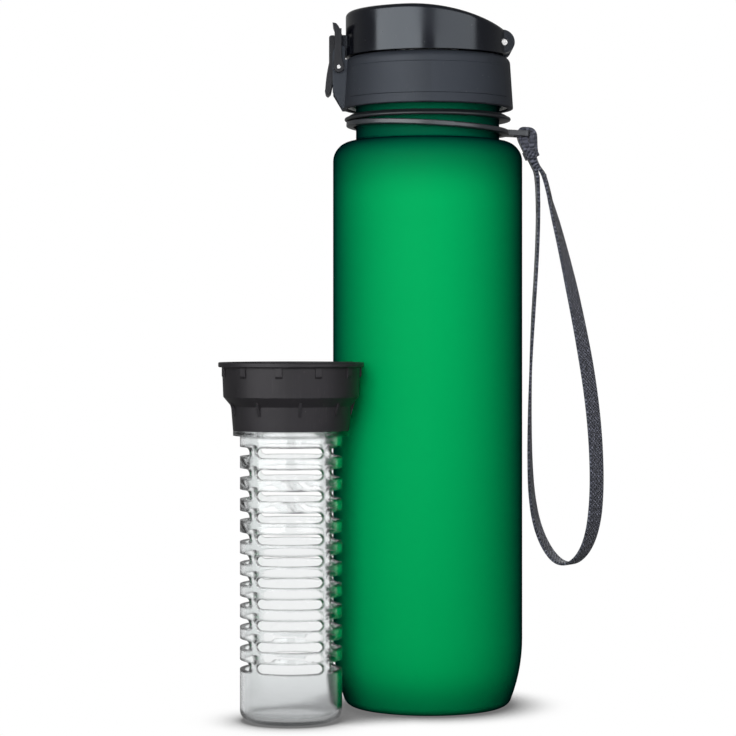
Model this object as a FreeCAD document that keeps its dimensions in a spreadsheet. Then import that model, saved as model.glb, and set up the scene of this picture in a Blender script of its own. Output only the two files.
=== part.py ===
"""Fruit infuser water bottle: bottle, screw lid with flip cap and lock, wrist strap, infuser.

Millimetres, +Z up. The origin is on the bottle's axis, in the plane that its foot stands on.
The latch of the lid faces -X, its hinge +X, and the infuser stands beside the bottle.
"""

import FreeCAD
import Part
import math
import os
import Sketcher

doc = FreeCAD.newDocument("infuser_bottle")
sheet = doc.addObject("Spreadsheet::Sheet", "sizes")
nodes = []


class Size:
    """A size with its number now and the sheet formula that it follows."""

    def __init__(self, value, formula):
        self.value = value
        self.formula = formula

    def __add__(self, other):
        other = as_size(other)
        return Size(self.value + other.value, f"({self.formula} + {other.formula})")

    def __sub__(self, other):
        other = as_size(other)
        return Size(self.value - other.value, f"({self.formula} - {other.formula})")

    def __mul__(self, other):
        other = as_size(other)
        return Size(self.value * other.value, f"({self.formula} * {other.formula})")

    def __truediv__(self, other):
        other = as_size(other)
        return Size(self.value / other.value, f"({self.formula} / {other.formula})")

    def __rsub__(self, other):
        return as_size(other) - self

    def __neg__(self):
        return Size(-self.value, f"(-1 * {self.formula})")

    __radd__ = __add__
    __rmul__ = __mul__


def as_size(number):
    return number if isinstance(number, Size) else Size(float(number), repr(float(number)))


def sin(angle):
    return Size(math.sin(math.radians(angle.value)), f"sin({angle.formula} * 1 deg)")


def cos(angle):
    return Size(math.cos(math.radians(angle.value)), f"cos({angle.formula} * 1 deg)")


def root(number):
    return Size(math.sqrt(number.value), f"sqrt({number.formula})")


def size(alias, value):
    """Write a driving dimension on the next row of the sheet and give it back."""
    size.row += 1
    cell = f"B{size.row}"
    sheet.set(f"A{size.row}", alias.replace("_", " "))
    sheet.set(cell, str(value))
    sheet.setAlias(cell, alias)
    return Size(float(value), f"sizes.{alias}")


size.row = 0

# Fits shared by several pieces
snug_gap = size("snug_gap", 0.05)
running_gap = size("running_gap", 0.05)
face_gap = size("face_gap", 0.1)
side_gap = size("side_gap", 0.3)

# Bottle
body_radius = size("body_radius", 39.5)
body_wall = size("body_wall", 1.6)
toe_height = size("toe_height", 2.9)
heel_radius = size("heel_radius", 70)
heel_angle = size("heel_angle", 21)
foot_width = size("foot_width", 5.6)
punt_height = size("punt_height", 3.2)
base_wall = size("base_wall", 2.4)
shoulder_top = size("shoulder_top", 235.1)
neck_fillet = size("neck_fillet", 1.2)
neck_radius = size("neck_radius", 29.9)
mouth_height = size("mouth_height", 29.5)
neck_bore = neck_radius - body_wall
shoulder_radius = body_radius - neck_radius - neck_fillet
mouth_level = shoulder_top + mouth_height

# Stop ring on the neck
stop_height = size("stop_height", 8.8)
stop_thickness = size("stop_thickness", 2.2)
stop_width = size("stop_width", 4.8)
stop_edge = size("stop_edge", 0.7)
stop_droop = size("stop_droop", 0.3)
stop_level = shoulder_top + stop_height
stop_radius = neck_radius + stop_width

# Strap ring, its tail and the wrist strap
ring_play = size("ring_play", 1.1)
ring_width = size("ring_width", 3)
ring_thickness = size("ring_thickness", 2.2)
ring_height = size("ring_height", 5.4)
ring_tilt = size("ring_tilt", 3.1)
tail_length = size("tail_length", 8.4)
tail_side = size("tail_side", 1.8)
tail_bar = size("tail_bar", 3.2)
slot_play = size("slot_play", 0.9)
slot_width = size("slot_width", 3.2)
strap_width = size("strap_width", 7.5)
strap_thickness = size("strap_thickness", 1.2)
hitch_drop = size("hitch_drop", 16.5)
hitch_lean = size("hitch_lean", 8)
hitch_neck = size("hitch_neck", 4.4)
loop_turn = size("loop_turn", 50)
ring_level = shoulder_top + ring_height
ring_bore = neck_radius + ring_play
ring_radius = ring_bore + ring_width
tail_reach = ring_radius + tail_length
slot_length = strap_width + slot_play
tail_width = slot_length + tail_side * 2

# Lid: gasket, threaded liner with spout, outer collar
gasket_thickness = size("gasket_thickness", 1.6)
gasket_width = size("gasket_width", 2.9)
gasket_round = size("gasket_round", 0.5)
thread_height = size("thread_height", 1.2)
liner_wall = size("liner_wall", 2.2)
liner_foot = size("liner_foot", 15.4)
liner_step = size("liner_step", 3.2)
liner_top_wall = size("liner_top_wall", 1.5)
deck_thickness = size("deck_thickness", 1.9)
spout_bore = size("spout_bore", 11.2)
spout_wall = size("spout_wall", 1.8)
spout_top = size("spout_top", 10.7)
collar_foot = size("collar_foot", 16.1)
collar_flare = size("collar_flare", 1.2)
collar_wall = size("collar_wall", 0.85)
collar_round = size("collar_round", 3)
collar_top = size("collar_top", 1.7)
collar_lip = size("collar_lip", 2.75)
panel_low = size("panel_low", 3.7)
panel_high = size("panel_high", 13.4)
panel_rise = size("panel_rise", 0.35)
panel_sweep = size("panel_sweep", 128)
gasket_low = mouth_level + face_gap
deck_low = gasket_low + gasket_thickness + face_gap
deck_high = deck_low + deck_thickness
liner_bore = neck_radius + thread_height + side_gap
liner_radius = liner_bore + liner_wall
liner_top_bore = neck_radius + side_gap
liner_top_radius = liner_top_bore + liner_top_wall
liner_foot_level = mouth_level - liner_foot
liner_step_level = mouth_level - liner_step
spout_top_level = deck_high + spout_top
gasket_radius = liner_top_bore - face_gap
gasket_bore = gasket_radius - gasket_width
collar_radius = liner_radius + snug_gap + collar_wall
collar_foot_radius = collar_radius + collar_flare
collar_foot_level = mouth_level - collar_foot
collar_top_level = deck_high + collar_top
panel_low_level = collar_foot_level + panel_low
panel_high_level = panel_low_level + panel_high

# Flip cap and its hinge
cap_inset = size("cap_inset", 0.3)
cap_wall = size("cap_wall", 1.8)
cap_top = size("cap_top", 18.8)
cap_slope_start = size("cap_slope_start", -10)
cap_slope_radius = size("cap_slope_radius", 106)
cap_edge = size("cap_edge", 2)
hinge_inset = size("hinge_inset", 2.8)
hinge_height = size("hinge_height", 5.2)
hinge_round = size("hinge_round", 4.3)
hinge_pin_radius = size("hinge_pin_radius", 1.25)
lug_width = size("lug_width", 5)
knuckle_half_width = size("knuckle_half_width", 7.7)
knuckle_wall = size("knuckle_wall", 3.2)
knuckle_play = size("knuckle_play", 0.4)
hinge_spring_wire = size("hinge_spring_wire", 0.7)
hinge_spring_turns = size("hinge_spring_turns", 5)
hinge_spring_end = size("hinge_spring_end", 1)
seal_thickness = size("seal_thickness", 2.6)
seal_overhang = size("seal_overhang", 1.6)
seal_stem_radius = size("seal_stem_radius", 4.5)
seal_stem_length = size("seal_stem_length", 2.6)
boss_wall = size("boss_wall", 1.6)
nose_half_width = size("nose_half_width", 5.4)
nose_out = size("nose_out", 2.3)
nose_low = size("nose_low", 0.6)
strike_height = size("strike_height", 4.4)
nose_pocket_depth = size("nose_pocket_depth", 1.5)
nose_pocket_height = size("nose_pocket_height", 2.8)
nose_lip = size("nose_lip", 1.3)
cap_radius = collar_radius - cap_inset
cap_low = collar_top_level + side_gap
cap_top_level = collar_top_level + cap_top
hinge_x = cap_radius - hinge_inset
hinge_level = collar_top_level + hinge_height
lug_near = knuckle_half_width + side_gap
hinge_half_width = lug_near + lug_width
seal_low = spout_top_level + side_gap
seal_high = seal_low + seal_thickness
nose_reach = cap_radius + nose_out
nose_low_level = collar_top_level + nose_low
strike_level = nose_low_level + strike_height
nose_pocket_top = strike_level + nose_pocket_height
nose_high_level = nose_pocket_top + nose_lip

# Latch: pin, push button, lock bail, cheeks on the collar
latch_out = size("latch_out", 2.5)
latch_drop = size("latch_drop", 4.7)
latch_pin_radius = size("latch_pin_radius", 0.8)
button_half_width = size("button_half_width", 6.2)
button_hub = size("button_hub", 1.9)
button_hub_angle = size("button_hub_angle", 36)
button_rise = size("button_rise", 3.9)
button_drop = size("button_drop", 11.2)
button_flare = size("button_flare", 5.7)
button_reach = size("button_reach", 4.1)
button_plate = size("button_plate", 2.2)
tooth_engagement = size("tooth_engagement", 0.8)
tooth_height = size("tooth_height", 1.5)
tooth_half_width = size("tooth_half_width", 3.4)
cheek_wall = size("cheek_wall", 2)
cheek_out = size("cheek_out", 2.6)
cheek_rise = size("cheek_rise", 9.2)
cheek_round = size("cheek_round", 3.4)
bail_width = size("bail_width", 2)
bail_hub = size("bail_hub", 2.2)
bail_arm = size("bail_arm", 2.9)
bail_rise = size("bail_rise", 0.7)
bail_tip_rise = size("bail_tip_rise", 3.9)
bail_tip_reach = size("bail_tip_reach", 2.6)
bail_gap = size("bail_gap", 0.1)
button_spring_wire = size("button_spring_wire", 0.5)
button_spring_radius = size("button_spring_radius", 1.8)
button_spring_turns = size("button_spring_turns", 3)
button_spring_drop = size("button_spring_drop", 7.4)
latch_x = collar_radius + latch_out
latch_level = collar_top_level - latch_drop
cheek_reach = latch_x + cheek_out
cheek_back = cap_radius + side_gap
cheek_top_level = latch_level + cheek_rise
bail_near = button_half_width + side_gap + cheek_wall + side_gap
bail_far = bail_near + bail_width

# Infuser: black adaptor ring and clear basket
infuser_bearing = size("infuser_bearing", 216.5)
infuser_apart = size("infuser_apart", 0.6)
rim_inset = size("rim_inset", 0.7)
rim_thickness = size("rim_thickness", 2)
infuser_height = size("infuser_height", 143.5)
ring_wall = size("ring_wall", 1.6)
insert_gap = size("insert_gap", 0.6)
insert_height = size("insert_height", 11.8)
insert_taper = size("insert_taper", 0.5)
cone_height = size("cone_height", 3.7)
socket_step = size("socket_step", 3.6)
socket_height = size("socket_height", 9.7)
socket_taper = size("socket_taper", 0.8)
tab_count = size("tab_count", 11)
tab_width = size("tab_width", 2.7)
tab_height = size("tab_height", 4.2)
tab_gap = size("tab_gap", 0.1)
rib_count = size("rib_count", 9)
rib_width = size("rib_width", 1.2)
basket_wall = size("basket_wall", 1.9)
basket_floor = size("basket_floor", 2.4)
basket_corner = size("basket_corner", 4.5)
basket_flange = size("basket_flange", 2)
flange_reach = size("flange_reach", 2.8)
basket_neck = size("basket_neck", 8)
slot_rows = size("slot_rows", 11)
slot_top = size("slot_top", 6.4)
slot_first = size("slot_first", 22.8)
slot_height = size("slot_height", 3.9)
pillar_width = size("pillar_width", 4.8)
rim_radius = neck_radius - rim_inset
insert_radius = neck_bore - insert_gap
socket_radius = insert_radius - socket_step
socket_end = socket_radius - socket_taper
socket_low = infuser_height - rim_thickness - insert_height - cone_height - socket_height
basket_radius = socket_end - flange_reach
basket_neck_radius = socket_end - ring_wall - snug_gap
doc.recompute()


def bind(item, prop, value):
    """Tie a property to its formula in the sheet."""
    item.setExpression(prop, as_size(value).formula)


def new_body(label, keep=True):
    body = doc.addObject("PartDesign::Body", label)
    if keep:
        nodes.append(body)
    return body


def sketch_on(body, role, offset=None):
    """An empty sketch on one of the body's origin planes, moved along its normal by offset."""
    sketch = body.newObject("Sketcher::SketchObject", f"{body.Name}_sketch")
    plane = next(f for f in body.Origin.OriginFeatures if f.Role == role)
    sketch.AttachmentSupport = [(plane, "")]
    sketch.MapMode = "FlatFace"
    if offset is not None:
        bind(sketch, "AttachmentOffset.Base.z", offset)
    return sketch


def place_point(sketch, curve, end, x, y):
    """Hold a point of a curve at x, y from the sketch's origin."""
    for kind, axis, place in (("DistanceX", -2, as_size(x)), ("DistanceY", -1, as_size(y))):
        if abs(place.value) < 1e-9:
            sketch.addConstraint(Sketcher.Constraint("PointOnObject", curve, end, axis))
        else:
            index = sketch.addConstraint(Sketcher.Constraint(kind, -1, 1, curve, end, place.value))
            bind(sketch, f"Constraints[{index}]", place)


def arc_between(start, end, radius):
    """The arc of under half a turn from start to end, anticlockwise where radius is positive."""
    chord = end - start
    height = math.sqrt(radius * radius - chord.Length ** 2 / 4)
    left = FreeCAD.Vector(-chord.y, chord.x, 0) / chord.Length
    centre = (start + end) / 2 + left * math.copysign(height, radius)
    first, last = (start, end) if radius > 0 else (end, start)
    angles = [math.atan2(p.y - centre.y, p.x - centre.x) for p in (first, last)]
    circle = Part.Circle(centre, FreeCAD.Vector(0, 0, 1), abs(radius))
    return Part.ArcOfCircle(circle, angles[0], angles[1])


def outline(sketch, corners):
    """A closed loop: each corner is (x, y) after a straight side, or (x, y, radius) after an arc."""
    sizes = [[as_size(n) for n in corner] for corner in corners]
    points = [FreeCAD.Vector(c[0].value, c[1].value, 0) for c in sizes]
    ends = []
    for i, corner in enumerate(sizes):
        if len(corner) == 3:
            curve = sketch.addGeometry(arc_between(points[i - 1], points[i], corner[2].value))
            forward = corner[2].value > 0
            radius = corner[2] if forward else -corner[2]
            index = sketch.addConstraint(Sketcher.Constraint("Radius", curve, radius.value))
            bind(sketch, f"Constraints[{index}]", radius)
            ends.append((curve, 1, 2) if forward else (curve, 2, 1))
        else:
            curve = sketch.addGeometry(Part.LineSegment(points[i - 1], points[i]))
            ends.append((curve, 1, 2))
    for i, corner in enumerate(sizes):
        following = ends[(i + 1) % len(ends)]
        joint = Sketcher.Constraint("Coincident", ends[i][0], ends[i][2], following[0], following[1])
        sketch.addConstraint(joint)
        place_point(sketch, ends[i][0], ends[i][2], corner[0], corner[1])
    return sketch


def circle(sketch, x, y, radius):
    centre = FreeCAD.Vector(as_size(x).value, as_size(y).value, 0)
    curve = sketch.addGeometry(Part.Circle(centre, FreeCAD.Vector(0, 0, 1), radius.value))
    place_point(sketch, curve, 3, x, y)
    index = sketch.addConstraint(Sketcher.Constraint("Radius", curve, radius.value))
    bind(sketch, f"Constraints[{index}]", radius)
    return sketch


def revolve(body, corners):
    """Turn a profile of (radius, height) corners about the body's Z axis."""
    sketch = outline(sketch_on(body, "XZ_Plane"), corners)
    feature = body.newObject("PartDesign::Revolution", f"{body.Name}_turned")
    feature.Profile = sketch
    feature.ReferenceAxis = (sketch, ["V_Axis"])
    feature.Angle = 360
    return feature


def pad(body, sketch, length, midplane=False):
    feature = body.newObject("PartDesign::Pad", f"{body.Name}_pad")
    feature.Profile = sketch
    feature.Midplane = midplane
    bind(feature, "Length", length)
    return feature


def cut(body, sketch, length, midplane=True):
    """Cut a sketch's shape out of the body, length in all, evenly to both sides of its plane."""
    feature = body.newObject("PartDesign::Pocket", f"{body.Name}_cut")
    feature.Profile = sketch
    feature.Midplane = midplane
    bind(feature, "Length", length)
    return feature


def both_sides(body, feature):
    """Repeat a feature on the other side of the lid's plane of symmetry."""
    mirror = body.newObject("PartDesign::Mirrored", f"{body.Name}_mirror")
    mirror.Originals = [feature]
    plane = next(f for f in body.Origin.OriginFeatures if f.Role == "XZ_Plane")
    mirror.MirrorPlane = (plane, [""])
    body.Tip = mirror
    return mirror


def around(body, feature, sketch, count):
    """Repeat a feature evenly round the body's Z axis."""
    pattern = body.newObject("PartDesign::PolarPattern", f"{body.Name}_round")
    pattern.Originals = [feature]
    pattern.Axis = (sketch, ["V_Axis"])
    pattern.Angle = 360
    bind(pattern, "Occurrences", count)
    body.Tip = pattern
    return pattern


def pin(label, radius, half_length, x, height):
    """A round pin along Y."""
    item = doc.addObject("Part::Cylinder", label)
    nodes.append(item)
    bind(item, "Radius", radius)
    bind(item, "Height", half_length * 2)
    item.Placement = FreeCAD.Placement(
        FreeCAD.Vector(), FreeCAD.Rotation(FreeCAD.Vector(1, 0, 0), 90)
    )
    bind(item, "Placement.Base.x", x)
    bind(item, "Placement.Base.y", half_length)
    bind(item, "Placement.Base.z", height)
    return item


def bottle_body():
    """Blown bottle: punted base, long heel curve, straight wall, round shoulder and neck."""
    body = new_body("bottle_body")
    heel_height = toe_height + heel_radius * sin(heel_angle)
    heel_end_x = body_radius - heel_radius * (1 - cos(heel_angle))
    toe_radius = toe_height / (1 - sin(heel_angle))
    foot_radius = heel_end_x - toe_radius * cos(heel_angle)
    punt_radius = foot_radius - foot_width
    punt_curve = (punt_radius * punt_radius / punt_height + punt_height) / 2
    floor = punt_height + base_wall
    inner_heel = heel_radius - body_wall
    drop = heel_height - floor
    floor_radius = body_radius - heel_radius + root(inner_heel * inner_heel - drop * drop)
    shoulder_start = shoulder_top - shoulder_radius
    shoulder_end = body_radius - shoulder_radius
    neck_start = shoulder_top + neck_fillet
    revolve(
        body,
        [
            (0, punt_height),
            (punt_radius, 0, -punt_curve),
            (foot_radius, 0),
            (heel_end_x, toe_height, toe_radius),
            (body_radius, heel_height, heel_radius),
            (body_radius, shoulder_start),
            (shoulder_end, shoulder_top, shoulder_radius),
            (neck_radius, neck_start, -neck_fillet),
            (neck_radius, mouth_level),
            (neck_bore, mouth_level),
            (neck_bore, neck_start),
            (shoulder_end, shoulder_top - body_wall, neck_fillet + body_wall),
            (body_radius - body_wall, shoulder_start, body_wall - shoulder_radius),
            (body_radius - body_wall, heel_height),
            (floor_radius, floor, -inner_heel),
            (0, floor),
        ],
    )


def neck_stop_ring():
    """Thin flange pressed on the neck, its edge drooping a little."""
    body = new_body("neck_stop_ring")
    seat = neck_radius + snug_gap
    edge_low = stop_level - stop_droop
    edge_mid = edge_low + stop_edge
    top = stop_level + stop_thickness
    revolve(
        body,
        [
            (seat, stop_level),
            (stop_radius - stop_edge, edge_low),
            (stop_radius, edge_mid, stop_edge),
            (stop_radius - stop_edge, edge_mid + stop_edge, stop_edge),
            (seat + stop_thickness, top),
            (seat, top),
        ],
    )


def tilt_with_ring(body):
    """Lean a body with the strap ring, which hangs lower on the strap's side."""
    body.Placement = FreeCAD.Placement(
        FreeCAD.Vector(), FreeCAD.Rotation(FreeCAD.Vector(0, 1, 0), ring_tilt.value)
    )
    bind(body, "Placement.Base.z", ring_level)
    bind(body, "Placement.Rotation.Angle", ring_tilt * Size(1, "1 deg"))


def strap_ring():
    """Loose ring round the neck with a slotted tail for the strap."""
    body = new_body("strap_ring")
    half = ring_thickness / 2
    soft = ring_thickness / 4
    revolve(
        body,
        [
            (ring_bore, -half),
            (ring_radius - soft, -half),
            (ring_radius, soft - half, soft),
            (ring_radius, half - soft),
            (ring_radius - soft, half, soft),
            (ring_bore, half),
        ],
    )
    tail_start = (ring_bore + ring_radius) / 2
    corner = tail_bar / 2
    side = tail_width / 2
    tail = outline(
        sketch_on(body, "XY_Plane"),
        [
            (tail_start, -side),
            (tail_reach - corner, -side),
            (tail_reach, corner - side, corner),
            (tail_reach, side - corner),
            (tail_reach - corner, side, corner),
            (tail_start, side),
        ],
    )
    pad(body, tail, ring_thickness, midplane=True)
    slot_end = tail_reach - tail_bar
    slot = outline(
        sketch_on(body, "XY_Plane"),
        [
            (slot_end - slot_width, -slot_length / 2),
            (slot_end, -slot_length / 2),
            (slot_end, slot_length / 2),
            (slot_end - slot_width, slot_length / 2),
        ],
    )
    cut(body, slot, ring_thickness * 2)
    tilt_with_ring(body)


def strap_hitch():
    """The strap's folded hitch round the end bar of the tail, drawn together below it."""
    body = new_body("strap_hitch")
    bar_inner = tail_reach - tail_bar - snug_gap
    bar_outer = tail_reach + snug_gap
    bar_half = ring_thickness / 2 + snug_gap
    wrap = strap_thickness * 2
    left = bar_inner - strap_thickness
    right = bar_outer + wrap
    top = bar_half + strap_thickness
    foot_x = tail_reach + hitch_lean
    hitch = outline(
        sketch_on(body, "XZ_Plane"),
        [
            (left + strap_thickness, top),
            (left, bar_half, strap_thickness),
            (left, -bar_half),
            (foot_x - hitch_neck, -hitch_drop),
            (foot_x, -hitch_drop),
            (right, -bar_half),
            (right, top - wrap),
            (right - wrap, top, wrap),
        ],
    )
    outline(
        hitch,
        [
            (bar_inner, -bar_half),
            (bar_outer, -bar_half),
            (bar_outer, bar_half),
            (bar_inner, bar_half),
        ],
    )
    pad(body, hitch, strap_width, midplane=True)
    tilt_with_ring(body)


# The strap's hanging loop, seen square to its own plane: distance out from the hitch, height.
# The points were chosen by hand from how the strap hangs, with the strap ring at this level.
route_ring_level = 240.5
strap_route = [
    (-1.6, 221.1),
    (-1.4, 208),
    (-1.8, 194),
    (-2.9, 179),
    (-4.4, 163),
    (-5.6, 147),
    (-6.3, 131),
    (-6.6, 115),
    (-6.4, 100),
    (-5.4, 87),
    (-2.4, 75),
    (3.4, 65.5),
    (11, 59.8),
    (19.4, 60.1),
    (26.6, 66.2),
    (31, 76),
    (32.8, 89),
    (32.7, 104),
    (31.2, 120),
    (28.2, 137),
    (24, 154),
    (19.2, 171),
    (14.2, 187),
    (9, 202),
    (4.6, 213.6),
    (2.6, 221.1),
]


def rounded_path(points):
    """Straight runs joined by tangent arcs, each as large as its two runs allow."""
    edges = []
    radii = []
    start = points[0]
    for before, corner, after in zip(points, points[1:], points[2:]):
        back = (before - corner).normalize()
        on = (after - corner).normalize()
        half_turn = (math.pi - back.getAngle(on)) / 2
        reach = 0.45 * min((before - corner).Length, (after - corner).Length)
        radius = reach / math.tan(half_turn)
        bisector = (back + on).normalize()
        middle = corner + bisector * (radius / math.cos(half_turn) - radius)
        edges.append(Part.LineSegment(start, corner + back * reach).toShape())
        edges.append(Part.Arc(corner + back * reach, middle, corner + on * reach).toShape())
        start = corner + on * reach
        radii.append(radius)
    edges.append(Part.LineSegment(start, points[-1]).toShape())
    return Part.Wire(edges), radii


def strap_loop():
    """Flat webbing that hangs in one loop from the hitch, in a plane turned about Z."""
    across = FreeCAD.Vector(0, strap_width.value / 2, 0)
    path, radii = rounded_path([FreeCAD.Vector(out, 0, height) for out, height in strap_route])
    start = path.OrderedVertexes[0].Point
    tangent = path.OrderedEdges[0].tangentAt(0)
    thick = tangent.cross(FreeCAD.Vector(0, 1, 0)) * (strap_thickness.value / 2)
    section = Part.makePolygon(
        [
            start - across - thick,
            start + across - thick,
            start + across + thick,
            start - across + thick,
            start - across - thick,
        ]
    )
    shape = path.makePipeShell([section], True, False)
    expected = path.Length * strap_width.value * strap_thickness.value
    print(f"strap length {path.Length:.1f}, least radius {min(radii):.1f}")
    print(f"strap volume over section times length {shape.Volume / expected:.4f}")
    item = doc.addObject("Part::Feature", "strap_loop")
    nodes.append(item)
    item.Shape = shape
    lean = math.radians(ring_tilt.value)
    foot = tail_reach.value + hitch_lean.value - hitch_neck.value / 2
    foot_x = foot * math.cos(lean) - hitch_drop.value * math.sin(lean)
    turn = FreeCAD.Rotation(FreeCAD.Vector(0, 0, 1), -loop_turn.value)
    rise = ring_level.value - route_ring_level
    item.Placement = FreeCAD.Placement(FreeCAD.Vector(foot_x, 0, rise), turn)


def lid_gasket():
    """Soft flat washer that the lid presses on the mouth."""
    body = new_body("lid_gasket")
    high = gasket_low + gasket_thickness
    soft = gasket_round
    revolve(
        body,
        [
            (gasket_radius - soft, gasket_low),
            (gasket_radius, gasket_low + soft, soft),
            (gasket_radius, high - soft),
            (gasket_radius - soft, high, soft),
            (gasket_bore + soft, high),
            (gasket_bore, high - soft, soft),
            (gasket_bore, gasket_low + soft),
            (gasket_bore + soft, gasket_low, soft),
        ],
    )


def lid_liner():
    """Inner cup of the lid: threaded skirt, deck and drinking spout."""
    body = new_body("lid_liner")
    spout_radius = spout_bore + spout_wall
    lip = spout_wall / 2
    slope = liner_radius - liner_top_radius
    foot_chamfer = liner_wall / 4
    revolve(
        body,
        [
            (liner_bore + foot_chamfer, liner_foot_level),
            (liner_radius, liner_foot_level),
            (liner_radius, liner_step_level),
            (liner_top_radius, liner_step_level + slope),
            (liner_top_radius, deck_high),
            (spout_radius + spout_wall, deck_high),
            (spout_radius, deck_high + spout_wall, -spout_wall),
            (spout_radius, spout_top_level - lip),
            (spout_bore + lip, spout_top_level, lip),
            (spout_bore, spout_top_level - lip, lip),
            (spout_bore, deck_low),
            (liner_top_bore, deck_low),
            (liner_top_bore, liner_step_level + slope),
            (liner_bore, liner_step_level),
            (liner_bore, liner_foot_level + foot_chamfer),
        ],
    )


def lid_collar():
    """Outer grip of the lid with its panels, the latch cheeks and the hinge knuckle."""
    body = new_body("lid_collar")
    bore = liner_radius + snug_gap
    top_bore = liner_top_radius + snug_gap
    slope = bore - top_bore
    ceiling = deck_high + snug_gap
    round_start = collar_top_level - collar_round
    foot_soft = (collar_foot_radius - bore) / 4
    revolve(
        body,
        [
            (bore, collar_foot_level),
            (collar_foot_radius - foot_soft, collar_foot_level),
            (collar_foot_radius, collar_foot_level + foot_soft, foot_soft),
            (collar_radius, round_start),
            (collar_radius - collar_round, collar_top_level, collar_round),
            (top_bore - collar_lip, collar_top_level),
            (top_bore - collar_lip, ceiling),
            (top_bore, ceiling),
            (top_bore, liner_step_level + slope),
            (bore, liner_step_level),
        ],
    )
    taper = (collar_foot_radius - collar_radius) / (round_start - collar_foot_level)
    low_radius = collar_foot_radius - taper * (panel_low_level - collar_foot_level)
    high_radius = collar_foot_radius - taper * (panel_high_level - collar_foot_level)
    panel = outline(
        sketch_on(body, "YZ_Plane"),
        [
            (panel_rise - low_radius, panel_low_level),
            (panel_rise - high_radius, panel_high_level),
            (-high_radius - panel_rise, panel_high_level - panel_rise),
            (-low_radius - panel_rise, panel_low_level + panel_rise),
        ],
    )
    raised = body.newObject("PartDesign::Revolution", "lid_collar_panel")
    raised.Profile = panel
    raised.ReferenceAxis = (panel, ["V_Axis"])
    raised.Midplane = True
    bind(raised, "Angle", panel_sweep)
    both_sides(body, raised)
    cheek_near = button_half_width + side_gap
    inside = root(bore * bore - cheek_near * cheek_near) + snug_gap
    inside_top = root(top_bore * top_bore - cheek_near * cheek_near) + snug_gap
    toe = cheek_reach - inside
    soft = cheek_round * 0.4
    cheek = outline(
        sketch_on(body, "XZ_Plane", cheek_near),
        [
            (-inside, collar_foot_level + snug_gap),
            (-collar_foot_radius, collar_foot_level + snug_gap),
            (snug_gap - cheek_reach, collar_foot_level + toe),
            (-cheek_reach, cheek_top_level - cheek_round),
            (cheek_round - cheek_reach, cheek_top_level, -cheek_round),
            (-cheek_back - soft, cheek_top_level),
            (-cheek_back, cheek_top_level - soft, -soft),
            (-cheek_back, latch_level + cheek_round),
            (-inside_top, latch_level + cheek_round),
            (-inside_top, liner_step_level + slope + snug_gap),
            (-inside, liner_step_level + slope + snug_gap),
        ],
    )
    both_sides(body, pad(body, cheek, cheek_wall))
    front = hinge_x - hinge_round
    knuckle = outline(
        sketch_on(body, "XZ_Plane", knuckle_half_width - knuckle_wall),
        [
            (front, ceiling + snug_gap),
            (hinge_x, ceiling + snug_gap),
            (hinge_x, hinge_level - hinge_round),
            (hinge_x + hinge_round, hinge_level, hinge_round),
            (hinge_x, hinge_level + hinge_round, hinge_round),
            (front, hinge_level, hinge_round),
        ],
    )
    both_sides(body, pad(body, knuckle, knuckle_wall))
    holes = circle(sketch_on(body, "XZ_Plane"), hinge_x, hinge_level, hinge_pin_radius + snug_gap)
    circle(holes, -latch_x, latch_level, latch_pin_radius + snug_gap)
    cut(body, holes, collar_radius * 2)


def slope_drop(x):
    """How far the cap's sloping top lies below its flat part at x."""
    run = x - cap_slope_start
    return cap_slope_radius - root(cap_slope_radius * cap_slope_radius - run * run)


def domed_block(body, radius, low, skin):
    """A round block whose top is flat in front and falls in one arc towards the hinge."""
    pad(body, circle(sketch_on(body, "XY_Plane", low), 0, 0, radius), cap_top_level - low)
    outer = cap_radius + cap_wall
    inner_curve = cap_slope_radius - skin
    run = outer - cap_slope_start
    end_drop = cap_slope_radius - root(inner_curve * inner_curve - run * run)
    above = outline(
        sketch_on(body, "XZ_Plane"),
        [
            (-outer, cap_top_level - skin),
            (cap_slope_start, cap_top_level - skin),
            (outer, cap_top_level - end_drop, -inner_curve),
            (outer, cap_top_level + cap_wall),
            (-outer, cap_top_level + cap_wall),
        ],
    )
    return cut(body, above, outer * 2)


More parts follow.
